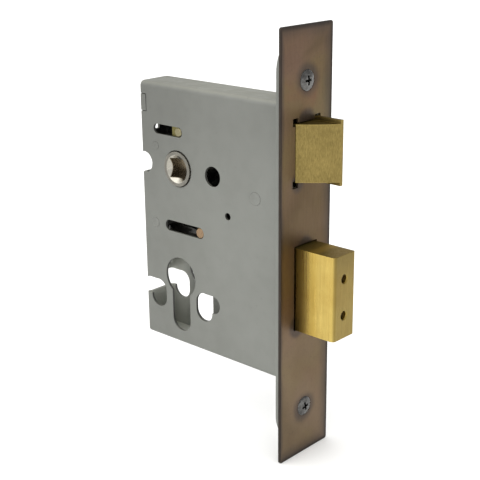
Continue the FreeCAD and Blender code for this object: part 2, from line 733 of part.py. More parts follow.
def detainer():
    """Lever that the cylinder's cam lifts before it moves the bolt."""
    x, z, post_r, _ = POST_REAR
    plate = prism_y([
        (x, z - DETAINER_EYE_R),
        (-6.0, DETAINER_BOTTOM),
        (DETAINER_FRONT_X, DETAINER_BOTTOM),
        (DETAINER_FRONT_X, DETAINER_TOP),
        (x, z + DETAINER_EYE_R),
    ], DETAINER_Y)
    tab_x0, tab_x1, tab_y, tab_top = DETAINER_TAB
    tab = block((tab_x0, tab_x1), (DETAINER_Y[0], tab_y), (DETAINER_TOP - 0.6, tab_top))
    body = join([plate, rod_y(x, z, DETAINER_EYE_R, DETAINER_Y), tab])
    window = prism_y([
        (WINDOW_X[0], WINDOW_TOP),
        (WINDOW_X[0], WINDOW_BOTTOM[0]),
        (WINDOW_X[1], WINDOW_BOTTOM[1]),
        (WINDOW_X[1], WINDOW_TOP),
    ], (DETAINER_Y[0] - 1, DETAINER_Y[1] + 1))
    return body.cut([window, rod_y(x, z, post_r + FIT_GAP, (0, BEYOND * 2))])


def detainer_spring():
    """Wire spring around the rear post that holds the detainer down."""
    x, z, _, _ = POST_REAR
    tip = (DETAINER_TAB[1], DETAINER_TAB[3] + DETAINER_WIRE_R + DETAINER_LEG_RISE)
    foot = (WALL_REAR_IN + DETAINER_WIRE_R + 0.1, DETAINER_BOTTOM)

    def tangent(point, side):
        """Angle on the loop at which a straight leg to the point leaves it."""
        reach = math.hypot(point[0] - x, point[1] - z)
        heading = math.atan2(point[1] - z, point[0] - x)
        return heading + side * math.acos(DETAINER_SPRING_R / reach)

    def on_loop(angle):
        return Vec(
            x + DETAINER_SPRING_R * math.cos(angle),
            DETAINER_SPRING_Y,
            z + DETAINER_SPRING_R * math.sin(angle),
        )

    start = tangent(foot, -1)
    end = tangent(tip, 1)
    while start < end:
        start += 2 * math.pi
    first = Vec(foot[0], DETAINER_SPRING_Y, foot[1])
    last = Vec(tip[0], DETAINER_SPRING_Y, tip[1])
    path = Part.Wire([
        Part.LineSegment(first, on_loop(start)).toShape(),
        Part.Arc(on_loop(start), on_loop((start + end) / 2), on_loop(end)).toShape(),
        Part.LineSegment(on_loop(end), last).toShape(),
    ])
    ring = Part.Wire(Part.makeCircle(DETAINER_WIRE_R, first, on_loop(start) - first))
    return path.makePipeShell([ring], True, False)


PARTS = {
    "faceplate": faceplate,
    "inner_forend": inner_forend,
    "faceplate_screws": faceplate_screws,
    "case_body": case_body,
    "case_cover": case_cover,
    "cover_screws": cover_screws,
    "post_front": lambda: post(*POST_FRONT),
    "post_rear": lambda: post(*POST_REAR),
    "post_upper": lambda: post(*POST_UPPER),
    "latch_guide": latch_guide,
    "spring_seat": spring_seat,
    "seat_rivet": seat_rivet,
    "latch_head": latch_head,
    "latch_tail": latch_tail,
    "latch_rivet": latch_rivet,
    "latch_crosshead": latch_crosshead,
    "latch_pin": lambda: guide_pin(LATCH_PIN_X, LATCH_Z, LATCH_PIN_R),
    "latch_spring": latch_spring,
    "hub": hub,
    "hub_levers": hub_levers,
    "hub_spring": hub_spring,
    "deadbolt_head": deadbolt_head,
    "deadbolt_hard_pins": deadbolt_hard_pins,
    "deadbolt_tail": deadbolt_tail,
    "deadbolt_rivets": deadbolt_rivets,
    "deadbolt_pin": lambda: guide_pin(BOLT_PIN_X, BOLT_PIN_Z, BOLT_PIN_R),
    "detainer": detainer,
    "detainer_spring": detainer_spring,
}

os.makedirs("parts", exist_ok=True)
for name, make in PARTS.items():
    shape = make()
    solids = shape.Solids
    valid = all(solid.isValid() for solid in solids)
    print(name, "solids", len(solids), "volume", round(shape.Volume, 1), "valid", valid)
    shape.exportStep("parts/" + name + ".step")
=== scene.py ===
import json
import math

import bpy
from mathutils import Matrix, Vector


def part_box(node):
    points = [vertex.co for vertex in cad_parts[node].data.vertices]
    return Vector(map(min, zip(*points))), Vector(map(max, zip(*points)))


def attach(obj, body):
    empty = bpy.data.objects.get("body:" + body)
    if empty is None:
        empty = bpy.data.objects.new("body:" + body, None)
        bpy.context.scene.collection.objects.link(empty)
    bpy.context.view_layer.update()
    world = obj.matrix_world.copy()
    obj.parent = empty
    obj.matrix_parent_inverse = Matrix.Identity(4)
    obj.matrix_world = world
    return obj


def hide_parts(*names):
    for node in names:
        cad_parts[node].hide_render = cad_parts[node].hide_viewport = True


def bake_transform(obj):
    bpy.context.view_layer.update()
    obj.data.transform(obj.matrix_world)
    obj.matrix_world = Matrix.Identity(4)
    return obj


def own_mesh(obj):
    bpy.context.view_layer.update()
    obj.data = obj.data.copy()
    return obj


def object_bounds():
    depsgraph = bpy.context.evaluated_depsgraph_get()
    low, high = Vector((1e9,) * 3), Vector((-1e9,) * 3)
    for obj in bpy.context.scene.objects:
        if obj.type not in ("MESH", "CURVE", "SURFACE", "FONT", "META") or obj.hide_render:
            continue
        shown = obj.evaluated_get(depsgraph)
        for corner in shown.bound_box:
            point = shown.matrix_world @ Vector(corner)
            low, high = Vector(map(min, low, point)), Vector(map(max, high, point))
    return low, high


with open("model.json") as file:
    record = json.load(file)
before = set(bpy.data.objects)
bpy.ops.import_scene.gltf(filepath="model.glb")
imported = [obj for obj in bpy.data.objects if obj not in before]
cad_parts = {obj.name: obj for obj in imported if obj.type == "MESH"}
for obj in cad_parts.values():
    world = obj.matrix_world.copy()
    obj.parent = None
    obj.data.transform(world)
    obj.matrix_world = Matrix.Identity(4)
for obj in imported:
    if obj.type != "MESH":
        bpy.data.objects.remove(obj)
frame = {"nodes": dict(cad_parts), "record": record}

CAD_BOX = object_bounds()

MM = 0.001

# Inner faces of the case, and half the width of the spindle's square
SHEET = 1.2 * MM
CASE_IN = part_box("case_body")[1].y - SHEET
REAR_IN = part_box("case_cover")[0].x + SHEET
FOREND_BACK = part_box("inner_forend")[0].x
SQUARE_HALF = 4.05 * MM

# Camera: angles in degrees, looking at a point between the spindle and the faceplate
CAMERA_AZIMUTH = 42.55
CAMERA_ELEVATION = 18.22
CAMERA_ROLL = -0.57
CAMERA_LENS = 79.7
CAMERA_DISTANCE = 408.3 * MM
CAMERA_TARGET = Vector((47.0, -21.0, -17.7)) * MM

# Light from all round, brighter from LIGHT_SIDE, with two wide soft suns
WORLD_DIM = 0.5
WORLD_BRIGHT = 1.15
LIGHT_SIDE = (-0.45, -0.75, 0.5)
KEY_SPREAD = 70
KEY_STRENGTH = 1.0
KEY_TINT = (1.0, 0.99, 0.96)
TOP_SIDE = (0.05, -0.1, 1.0)
TOP_SPREAD = 90
TOP_STRENGTH = 1.4

# Wide enough for its far edge to lie out of every view
FLOOR_SIZE = 40.0


# ---- node helpers ----

class Shader:
    """One material's node tree, with its Principled shader ready to be fed."""

    def __init__(self, name, metallic=0.0, roughness=0.5):
        self.material = bpy.data.materials.new(name)
        self.material.use_nodes = True
        self.tree = self.material.node_tree
        self.surface = self.tree.nodes["Principled BSDF"]
        self.surface.inputs["Metallic"].default_value = metallic
        self.surface.inputs["Roughness"].default_value = roughness

    def node(self, kind, **inputs):
        node = self.tree.nodes.new(kind)
        for label, value in inputs.items():
            self.feed(node.inputs[label], value)
        return node

    def feed(self, socket, value):
        if isinstance(value, bpy.types.NodeSocket):
            self.tree.links.new(value, socket)
        else:
            socket.default_value = value

    def place(self, scale=(1, 1, 1), offset=(0, 0, 0)):
        """The part's own coordinates in metres, moved by offset and then scaled."""
        coordinates = self.node("ShaderNodeTexCoord").outputs["Object"]
        moved = self.node("ShaderNodeVectorMath")
        moved.operation = "ADD"
        self.feed(moved.inputs[0], coordinates)
        moved.inputs[1].default_value = offset
        scaled = self.node("ShaderNodeVectorMath")
        scaled.operation = "MULTIPLY"
        self.feed(scaled.inputs[0], moved.outputs[0])
        scaled.inputs[1].default_value = scale
        return scaled.outputs[0]

    def noise(self, scale, detail=3.0, rough=0.5, stretch=(1, 1, 1), offset=(0, 0, 0), twist=0.0):
        """Noise from 0 to 1, drawn out along the axes where stretch is below 1."""
        node = self.node("ShaderNodeTexNoise", Vector=self.place(stretch, offset))
        node.inputs["Scale"].default_value = scale
        node.inputs["Detail"].default_value = detail
        node.inputs["Roughness"].default_value = rough
        node.inputs["Distortion"].default_value = twist
        return node.outputs["Fac"]

    def calc(self, operation, first, second=0.0):
        """One step of arithmetic."""
        node = self.node("ShaderNodeMath")
        node.operation = operation
        self.feed(node.inputs[0], first)
        self.feed(node.inputs[1], second)
        return node.outputs[0]

    def span(self, value, low, high, to_low=0.0, to_high=1.0):
        """Maps low..high smoothly to to_low..to_high, clamped."""
        node = self.node("ShaderNodeMapRange")
        node.interpolation_type = "SMOOTHSTEP"
        self.feed(node.inputs["Value"], value)
        node.inputs["From Min"].default_value = low
        node.inputs["From Max"].default_value = high
        node.inputs["To Min"].default_value = to_low
        node.inputs["To Max"].default_value = to_high
        return node.outputs["Result"]

    def between(self, value, low, high, fade):
        """1 from low + fade to high - fade, 0 below low and above high."""
        rise = self.span(value, low, low + fade)
        return self.calc("MULTIPLY", rise, self.span(value, high, high - fade))

    def blend(self, share, first, second, how="MIX"):
        """Lays second over first by share; either can be a colour or an output."""
        node = self.node("ShaderNodeMix")
        node.data_type = "RGBA"
        node.blend_type = how
        self.feed(node.inputs["Factor"], share)
        self.feed(node.inputs["A"], colour(first))
        self.feed(node.inputs["B"], colour(second))
        return node.outputs["Result"]

    def tint(self, value, *stops):
        """Colour ramp from (position, colour) stops."""
        node = self.node("ShaderNodeValToRGB", Fac=value)
        ramp = node.color_ramp
        while len(ramp.elements) < len(stops):
            ramp.elements.new(1.0)
        for element, (position, shade) in zip(ramp.elements, stops):
            element.position = position
            element.color = colour(shade)
        return node.outputs["Color"]

    def axis(self, name):
        """One coordinate of the part's own frame, in metres."""
        node = self.node("ShaderNodeSeparateXYZ", Vector=self.place())
        return node.outputs[name]

    def near_point(self, point):
        """Distance in metres from a point of the part's own frame."""
        node = self.node("ShaderNodeVectorMath")
        node.operation = "LENGTH"
        self.feed(node.inputs[0], self.place(offset=tuple(-c for c in point)))
        return node.outputs["Value"]

    def edges(self, radius, low=0.02, high=0.25):
        """1 on convex and concave edges, 0 on open faces."""
        round_normal = self.node("ShaderNodeBevel", Radius=radius)
        round_normal.samples = 6
        true_normal = self.node("ShaderNodeNewGeometry").outputs["Normal"]
        dot = self.node("ShaderNodeVectorMath")
        dot.operation = "DOT_PRODUCT"
        self.feed(dot.inputs[0], round_normal.outputs[0])
        self.feed(dot.inputs[1], true_normal)
        return self.span(self.calc("SUBTRACT", 1.0, dot.outputs["Value"]), low, high)

    def normal(self, axis):
        """One component of the surface's direction."""
        node = self.node("ShaderNodeSeparateXYZ", Vector=self.node("ShaderNodeNewGeometry").outputs["Normal"])
        return node.outputs[axis]

    def facing(self, axis):
        """1 where the surface faces along +axis, 0 where it faces away."""
        return self.span(self.normal(axis), 0.3, 0.95)

    def flat_side(self):
        """1 where the surface faces straight to the near or the far side."""
        return self.span(self.calc("ABSOLUTE", self.normal("Y")), 0.8, 0.97)

    def bump(self, height, depth, strength=1.0, under=None):
        """Surface direction with height as relief, on top of the one given as under."""
        node = self.node("ShaderNodeBump", Height=height)
        node.inputs["Distance"].default_value = depth
        node.inputs["Strength"].default_value = strength
        if under is not None:
            self.feed(node.inputs["Normal"], under)
        return node.outputs["Normal"]

    def finish(self, base=None, roughness=None, normal=None):
        """Feeds the shader what is given and returns the material."""
        for label, value in (("Base Color", base), ("Roughness", roughness), ("Normal", normal)):
            if value is not None:
                self.feed(self.surface.inputs[label], value)
        return self.material


def colour(value):
    """Adds alpha to an (r, g, b) tuple and leaves anything else alone."""
    if isinstance(value, tuple) and len(value) == 3:
        return (*value, 1.0)
    return value


def scaled(shade, factor):
    """The same hue, darker or brighter."""
    return tuple(min(1.0, factor * c) for c in shade)


# ---- materials ----

def case_inside(s, low, high):
    """1 on the case's inner faces; low and high are the case's corners."""
    gap = 0.05 * MM
    fade = 0.03 * MM
    depth = s.calc("ABSOLUTE", s.axis("Y"))
    inside = s.span(depth, CASE_IN + gap, CASE_IN + gap - fade)
    inside = s.calc("MULTIPLY", inside, s.between(s.axis("X"), REAR_IN - gap, FOREND_BACK, fade))
    upright = s.between(s.axis("Z"), low.z + SHEET - gap, high.z - SHEET + gap, fade)
    return s.calc("MULTIPLY", inside, upright)


def opening_walls(s, low, high):
    """1 on the walls of the openings through the side plates, away from the case's own outline."""
    margin = 1.5 * MM
    fade = 0.7 * MM
    depth = s.calc("ABSOLUTE", s.axis("Y"))
    edgewise = s.span(s.calc("ABSOLUTE", s.normal("Y")), 0.6, 0.3)
    wall = s.calc("MULTIPLY", s.span(depth, high.y, high.y - 0.1 * MM), edgewise)
    for name, first, last in (("X", low.x, high.x), ("Z", low.z, high.z)):
        wall = s.calc("MULTIPLY", wall, s.between(s.axis(name), first + margin, last - margin, fade))
    return wall


def grey_paint(case):
    """Thin satin coating on sheet steel, with painted light towards the front and on faces that look up,
    and painted shade up and to the rear and in the holes' walls.

    Inside the case it has painted shade round the works, and painted light below them towards the rear and
    on faces that look up, such as the floor.
    """
    s = Shader("grey_paint", metallic=0.25, roughness=0.5)
    low, high = case
    cloud = s.noise(28.0, detail=4.0)
    grain = s.noise(1500.0, detail=2.0)
    specks = s.noise(420.0, detail=3.0, rough=0.7)
    body = s.tint(cloud, (0.3, (0.146, 0.150, 0.134)), (0.7, (0.172, 0.177, 0.160)))
    # Painted light: lighter towards the front of the case
    painted_light_front = s.span(s.axis("X"), low.x, high.x, 0.0, 0.30)
    body = s.blend(painted_light_front, body, (0.215, 0.222, 0.205))
    # Painted light: faces that look up are lighter and warmer
    body = s.blend(s.calc("MULTIPLY", s.facing("Z"), 0.8), body, (0.245, 0.247, 0.205))
    # Painted shade: darker up and to the rear
    painted_shade_up = s.span(s.axis("Z"), -30 * MM, high.z, 0.0, 0.20)
    painted_shade_rear = s.span(s.axis("X"), 20 * MM, low.x, 0.0, 0.14)
    body = s.blend(s.calc("ADD", painted_shade_up, painted_shade_rear), body, (0.02, 0.02, 0.018))
    body = s.blend(s.span(specks, 0.62, 0.78, 0.0, 0.35), body, (0.11, 0.115, 0.10))
    body = s.blend(s.span(specks, 0.3, 0.2, 0.0, 0.25), body, (0.23, 0.235, 0.22))
    worn = s.calc("MULTIPLY", s.edges(0.45 * MM), s.span(cloud, 0.35, 0.6, 0.2, 0.7))
    body = s.blend(worn, body, (0.28, 0.28, 0.26))

    inside = case_inside(s, low, high)
    # Inside the case, painted light below the works, towards the rear and on faces that look up
    under = s.span(s.axis("Z"), -36 * MM, -44 * MM)
    rear = s.span(s.axis("X"), -14 * MM, -4 * MM, 0.5, 0.03)
    painted_light_inside = s.calc("MULTIPLY", under, s.calc("MAXIMUM", rear, s.calc("MULTIPLY", s.facing("Z"), 0.97)))
    body = s.blend(s.calc("MULTIPLY", inside, painted_light_inside), body, (0.62, 0.63, 0.56))
    # Painted shade inside the case round the works, above its lower faces
    painted_shade_inside = s.calc("MULTIPLY", s.calc("MULTIPLY", inside, s.calc("SUBTRACT", 1.0, under)), 0.8)
    body = s.blend(painted_shade_inside, body, (0.02, 0.019, 0.015))
    # Painted shade on the walls of the openings
    wall = s.calc("MULTIPLY", opening_walls(s, low, high), s.calc("SUBTRACT", 1.0, inside))
    body = s.blend(s.calc("MULTIPLY", wall, 0.6), body, (0.02, 0.02, 0.018))
    rough = s.span(s.noise(160.0), 0.3, 0.7, 0.42, 0.58)
    normal = s.bump(grain, 0.02 * MM, 0.5, under=s.bump(s.noise(300.0), 0.05 * MM, 0.35))
    return s.finish(base=body, roughness=rough, normal=normal)


def antique_brass(plate, dark_points):
    """Brown patinated brass with an upright grain, darker towards the plate's edges and round dark_points.

    dark_points lists each point with how far its darkness reaches; it is full for about half of that.
    """
    s = Shader("antique_brass", metallic=0.85, roughness=0.4)
    low, high = plate
    half = (high.y - low.y) / 2
    drift = s.calc("MULTIPLY", s.calc("SUBTRACT", s.noise(45.0, detail=4.0), 0.5), 7.0 * MM)
    # The near side's dark rim is a third as wide as the others
    near_side = s.calc("MULTIPLY", s.calc("ADD", half, s.axis("Y")), 3.0)
    side = s.calc("MINIMUM", near_side, s.calc("SUBTRACT", half, s.axis("Y")))
    ends = s.calc("MINIMUM", s.calc("SUBTRACT", s.axis("Z"), low.z), s.calc("SUBTRACT", high.z, s.axis("Z")))
    inset = s.calc("ADD", s.calc("MINIMUM", side, ends), drift)
    rim = s.span(inset, 1.0 * MM, 7.0 * MM, 0.75, 0.0)
    for point, reach in dark_points:
        distance = s.calc("ADD", s.near_point(point), drift)
        rim = s.calc("MAXIMUM", rim, s.span(distance, 0.48 * reach, reach, 0.95, 0.0))
    blotch = s.noise(32.0, detail=4.0, rough=0.55, twist=0.6, offset=(0, 0, 0.05))
    body = s.tint(
        blotch,
        (0.30, (0.112, 0.074, 0.040)),
        (0.45, (0.146, 0.095, 0.053)),
        (0.58, (0.152, 0.104, 0.050)),
        (0.72, (0.158, 0.084, 0.045)),
    )
    hue = s.noise(26.0, detail=2.0, offset=(0.03, 0, 0))
    body = s.blend(s.span(hue, 0.52, 0.64, 0.0, 0.5), body, (0.150, 0.122, 0.055))
    body = s.blend(s.span(hue, 0.46, 0.34, 0.0, 0.5), body, (0.150, 0.086, 0.064))
    foot = s.span(s.axis("Z"), -30 * MM, -75 * MM)
    body = s.blend(s.calc("MULTIPLY", foot, 0.45), body, (0.185, 0.138, 0.080))
    middle = s.between(s.axis("Z"), -32 * MM, 14 * MM, 14 * MM)
    body = s.blend(s.calc("MULTIPLY", middle, 0.6), body, (0.098, 0.064, 0.026))
    body = s.blend(s.calc("MULTIPLY", rim, 0.82), body, (0.050, 0.039, 0.035))
    border = s.span(s.calc("MINIMUM", side, ends), 0.3 * MM, 2.4 * MM, 0.85, 0.0)
    body = s.blend(border, body, (0.020, 0.017, 0.016))
    grain = s.noise(1500.0, detail=3.0, rough=0.6, stretch=(1, 1, 0.08))
    body = s.blend(s.span(grain, 0.35, 0.65, 0.0, 0.05), body, (0.26, 0.19, 0.125))
    speckle = s.noise(900.0, detail=4.0, rough=0.7)
    body = s.blend(s.span(speckle, 0.5, 0.75, 0.0, 0.3), body, (0.075, 0.055, 0.04))
    body = s.blend(s.calc("MULTIPLY", s.edges(0.3 * MM), 0.35), body, (0.05, 0.042, 0.04))
    rough = s.span(s.noise(60.0, detail=3.0), 0.3, 0.7, 0.4, 0.54)
    normal = s.bump(speckle, 0.004 * MM, 0.5)
    return s.finish(base=body, roughness=rough, normal=normal)


def brass(name, pale, deep, stretch, rough, mottle=0.35, rub=0.4, end=1.0, top=1.0, fine=2400.0):
    """Machined brass whose grain runs along the axis where stretch is small.

    rough is the roughness from the grain's low to its high, mottle the grain's contrast, fine its scale,
    rub how bright the edges are, from wear and from painted highlight, and end and top how much darker the
    end face and the top face are, as painted shade.
    Returns the shader and its colour.
    """
    s = Shader(name, metallic=1.0, roughness=0.3)
    cloud = s.noise(90.0, detail=5.0, rough=0.6)
    grain = s.noise(fine, detail=3.0, rough=0.7, stretch=stretch)
    body = s.tint(cloud, (0.3, deep), (0.7, pale))
    body = s.blend(s.span(grain, 0.5, 0.7, 0.0, mottle), body, scaled(deep, 0.55))
    body = s.blend(s.span(grain, 0.5, 0.3, 0.0, mottle), body, scaled(pale, 1.4))
    tarnish = s.span(s.noise(240.0, detail=5.0, rough=0.7), 0.6, 0.75, 0.0, 0.3)
    body = s.blend(tarnish, body, (0.16, 0.11, 0.05))
    # Edges brightened: partly real wear, partly a painted highlight
    body = s.blend(s.calc("MULTIPLY", s.edges(0.6 * MM, 0.01, 0.15), rub), body, scaled(pale, 1.7))
    # Painted shade: the end face and the top face darkened, as they reflect less light
    body = s.blend(s.facing("X"), body, (end, end, end), "MULTIPLY")
    body = s.blend(s.facing("Z"), body, (top, 0.93 * top, 0.6 * top), "MULTIPLY")
    gloss = s.calc("ADD", s.span(grain, 0.3, 0.7, *rough), s.calc("MULTIPLY", s.facing("Z"), 0.2))
    s.finish(roughness=gloss, normal=s.bump(grain, 0.008 * MM, 0.6))
    return s, body


def plain_brass(*words, **facts):
    """A brass material with nothing added to what brass makes."""
    s, body = brass(*words, **facts)
    return s.finish(base=body)


def bolt_brass(top_z, face_x):
    """The dead bolt's brass, with painted shade at the faceplate and towards the top of its end, and a
    painted sheen between.
    """
    s, body = brass(
        "bolt_brass", (0.54, 0.40, 0.118), (0.45, 0.315, 0.084), (1, 1, 0.03), (0.24, 0.38),
        # Its end and top faces darkened as painted shade, its edges brightened partly as a painted highlight
        mottle=0.14, rub=0.25, end=0.51, top=0.40, fine=1200.0,
    )
    wander = s.calc("MULTIPLY", s.calc("SUBTRACT", s.noise(300.0, stretch=(1, 1, 0.15)), 0.5), 2.5 * MM)
    reach = s.calc("ADD", s.axis("X"), wander)
    # Painted shade: darker near the faceplate
    body = s.blend(s.span(reach, face_x, face_x + 7 * MM, 0.72, 0.0), body, (0.115, 0.088, 0.022))
    # Painted sheen: a brighter band beyond the faceplate's shade
    sheen_band = s.between(reach, face_x + 5 * MM, face_x + 12 * MM, 3 * MM)
    body = s.blend(s.calc("MULTIPLY", sheen_band, 0.35), body, (0.50, 0.32, 0.05))
    # Painted shade: the end face darker towards its top
    upper = s.span(s.axis("Z"), top_z - 14 * MM, top_z, 0.0, 0.32)
    body = s.blend(s.calc("MULTIPLY", upper, s.facing("X")), body, (0.05, 0.04, 0.02))
    return s.finish(base=body)


def bare_metal(name, pale, deep, rough):
    """Dull plated or cast metal with fine mottling; rough is its lowest and highest roughness."""
    s = Shader(name, metallic=0.9, roughness=0.4)
    cloud = s.noise(240.0, detail=4.0, rough=0.6)
    fine = s.noise(1300.0, detail=3.0, rough=0.6)
    body = s.tint(cloud, (0.3, deep), (0.7, pale))
    body = s.blend(s.span(fine, 0.58, 0.75, 0.0, 0.4), body, scaled(deep, 0.55))
    body = s.blend(s.calc("MULTIPLY", s.edges(0.25 * MM), 0.5), body, scaled(pale, 1.25))
    normal = s.bump(fine, 0.015 * MM, 0.5)
    return s.finish(base=body, roughness=s.span(fine, 0.3, 0.7, *rough), normal=normal)


def screw_metal(tops):
    """Nickel-plated screws, worn, with painted shade in the cross recess."""
    s = Shader("screw_steel", metallic=0.95, roughness=0.3)
    fine = s.noise(1500.0, detail=3.0, rough=0.7)
    cloud = s.noise(600.0, detail=3.0)
    body = s.tint(cloud, (0.3, (0.070, 0.068, 0.066)), (0.7, (0.165, 0.163, 0.158)))
    body = s.blend(s.span(fine, 0.55, 0.75, 0.0, 0.5), body, (0.06, 0.058, 0.055))
    body = s.blend(s.calc("MULTIPLY", s.edges(0.2 * MM), 0.4), body, (0.42, 0.42, 0.41))
    top_x = tops[0][0]
    # Painted shade in each head's cross recess
    recess_shade = s.span(s.axis("X"), top_x - 0.15 * MM, top_x - 0.5 * MM)
    for top in tops:
        centre = s.span(s.near_point(top), 2.3 * MM, 2.0 * MM)
        body = s.blend(s.calc("MULTIPLY", recess_shade, centre), body, (0.012, 0.012, 0.011))
    rough = s.span(fine, 0.3, 0.7, 0.2, 0.34)
    return s.finish(base=body, roughness=rough, normal=s.bump(fine, 0.01 * MM, 0.6))


def hub_metal():
    """Die-cast hub: pale nickel outside with painted shade on its flat sides and a painted highlight on its
    edges, brown in the spindle's square.
    """
    s = Shader("zamak", metallic=0.9, roughness=0.35)
    fine = s.noise(900.0, detail=3.0, rough=0.6)
    cloud = s.noise(260.0, detail=4.0)
    outside = s.tint(cloud, (0.3, (0.31, 0.293, 0.252)), (0.7, (0.45, 0.43, 0.375)))
    across = s.calc("MAXIMUM", s.calc("ABSOLUTE", s.axis("X")), s.calc("ABSOLUTE", s.axis("Z")))
    inside = s.span(across, SQUARE_HALF + 0.25 * MM, SQUARE_HALF + 0.05 * MM)
    # Painted shade: the flat sides darkened, as they reflect little light
    body = s.blend(s.calc("MULTIPLY", s.flat_side(), 0.62), outside, (0.03, 0.029, 0.025))
    body = s.blend(s.calc("MULTIPLY", inside, 0.85), body, (0.15, 0.115, 0.065))
    # Painted highlight on the edges
    body = s.blend(s.calc("MULTIPLY", s.edges(0.3 * MM), 0.5), body, (0.55, 0.53, 0.48))
    body = s.blend(s.span(fine, 0.6, 0.75, 0.0, 0.3), body, (0.2, 0.18, 0.15))
    rough = s.span(fine, 0.3, 0.7, 0.18, 0.30)
    return s.finish(base=body, roughness=rough, normal=s.bump(fine, 0.006 * MM, 0.5))


def screw_tops():
    """Centres of the faceplate screws' heads."""
    low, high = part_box("faceplate_screws")
    radius = (high.y - low.y) / 2
    return [(high.x, 0.0, low.z + radius), (high.x, 0.0, high.z - radius)]


def opening_corners():
    """Points at the near and far edges of the latch and of the dead bolt, in the faceplate's front."""
    face_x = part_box("faceplate")[1].x
    points = []
    for node in ("latch_head", "deadbolt_head"):
        low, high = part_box(node)
        points += [(face_x, low.y + 0.8 * MM, low.z + 1.0 * MM), (face_x, 0.0, high.z - 1.0 * MM)]
    return points


def make_materials():
    """The record's material slots, each with its procedural material."""
    return {
        "antique_brass": antique_brass(
            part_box("faceplate"),
            [(top, 8.0 * MM) for top in screw_tops()] + [(corner, 5.5 * MM) for corner in opening_corners()],
        ),
        "grey_paint": grey_paint(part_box("case_body")),
        "screw_steel": screw_metal(screw_tops()),
        # Its colours darkened as painted shade, for the parts seen inside the case
        "zinc_steel": bare_metal("zinc_steel", (0.13, 0.126, 0.113), (0.075, 0.072, 0.063), (0.36, 0.55)),
        "dull_brass": plain_brass(
            "dull_brass", (0.20, 0.175, 0.07), (0.13, 0.115, 0.045), (1, 1, 0.2), (0.4, 0.55),
        ),
        "latch_brass": plain_brass(
            "latch_brass", (0.265, 0.20, 0.068), (0.20, 0.15, 0.050), (1, 1, 0.2), (0.3, 0.5),
            # Its top face darkened as painted shade, its edges brightened partly as a painted highlight
            mottle=0.42, rub=0.8, top=0.42, fine=3200.0,
        ),
        "bolt_brass": bolt_brass(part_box("deadbolt_head")[1].z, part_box("faceplate")[1].x),
        "pin_brass": plain_brass(
            "pin_brass", (0.26, 0.235, 0.15), (0.19, 0.17, 0.10), (1, 0.3, 1), (0.3, 0.45),
        ),
        "pin_copper": plain_brass(
            "pin_copper", (0.27, 0.185, 0.115), (0.21, 0.14, 0.08), (1, 0.3, 1), (0.3, 0.45),
        ),
        "zamak": hub_metal(),
        "spring_steel": bare_metal("spring_steel", (0.50, 0.50, 0.49), (0.34, 0.34, 0.33), (0.2, 0.34)),
        "hard_steel": bare_metal("hard_steel", (0.09, 0.065, 0.035), (0.04, 0.03, 0.018), (0.35, 0.5)),
    }


def dress(node, materials):
    """Gives a CAD node its slot's material."""
    slot = next(p["material_slot"] for p in frame["record"]["subparts"] if p["node"] == node)
    thing = frame["nodes"][node]
    if not thing.material_slots:
        thing.data.materials.append(None)
    for place in thing.material_slots:
        place.material = materials[slot]


# ---- shapes ----

# Millimetres by which each node's sharp edges are rounded
EDGE_WIDTHS = {
    "case_body": 0.18, "case_cover": 0.18, "inner_forend": 0.25, "faceplate": 0.12,
    "latch_head": 0.22, "deadbolt_head": 0.22, "hub": 0.18, "faceplate_screws": 0.08,
    "latch_crosshead": 0.15, "latch_tail": 0.15, "deadbolt_tail": 0.15, "detainer": 0.12,
    "hub_levers": 0.15, "latch_guide": 0.12, "spring_seat": 0.12,
    "post_front": 0.12, "post_rear": 0.12, "post_upper": 0.12,
}

# Nodes whose large flat faces are merged first, so that they shade evenly
LARGE_FLATS = ("case_body", "case_cover", "faceplate", "latch_head", "deadbolt_head")


def soften(thing, width, large_flats):
    """Rounds a part's sharp edges by width millimetres, with its flat faces merged if large_flats is true."""
    weld = thing.modifiers.new("weld", "WELD")
    weld.merge_threshold = 1e-6
    if large_flats:
        merge = thing.modifiers.new("flat_faces", "DECIMATE")
        merge.decimate_type = "DISSOLVE"
        merge.angle_limit = math.radians(0.4)
    bevel = thing.modifiers.new("soft_edges", "BEVEL")
    bevel.width = width * MM
    bevel.segments = 2
    bevel.limit_method = "ANGLE"
    bevel.angle_limit = math.radians(32)
    bevel.use_clamp_overlap = True
    bevel.miter_outer = "MITER_ARC"
    weights = thing.modifiers.new("even_shading", "WEIGHTED_NORMAL")
    weights.keep_sharp = False
    weights.weight = 80


def coil_spring(node, turns, wire, material):
    """Compression spring along X in a CAD spring's place, with closed ends; wire is the wire's radius."""
    low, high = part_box(node)
    middle = (low + high) / 2
    radius = (high.z - low.z) / 2 - wire
    # Pitch of the two closed end turns, and of the open turns between them
    closed = 2.1 * wire
    active = (high.x - low.x - 2 * wire - 2 * closed) / (turns - 2)
    steps, corners = 32, 10
    points, faces = [], []
    for i in range(turns * steps + 1):
        turn = i / steps
        ends = min(turn, 1) + max(turn - turns + 1, 0)
        x = low.x + wire + closed * ends + active * (turn - ends)
        angle = 2 * math.pi * turn
        outward = Vector((0, math.cos(angle), math.sin(angle)))
        centre = Vector((x, middle.y, middle.z)) + radius * outward
        for k in range(corners):
            around = 2 * math.pi * k / corners
            points.append(centre + wire * (math.cos(around) * outward + math.sin(around) * Vector((1, 0, 0))))
    for i in range(turns * steps):
        for k in range(corners):
            near, far = i * corners, (i + 1) * corners
            following = (k + 1) % corners
            faces.append((near + k, near + following, far + following, far + k))
    faces.append(tuple(range(corners))[::-1])
    faces.append(tuple(turns * steps * corners + k for k in range(corners)))
    mesh = bpy.data.meshes.new(node + "_coil")
    mesh.from_pydata(points, [], faces)
    mesh.shade_smooth()
    mesh.materials.append(material)
    spring = bpy.data.objects.new(node + "_coil", mesh)
    bpy.context.scene.collection.objects.link(spring)
    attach(spring, "case")
    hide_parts(node)
    return spring


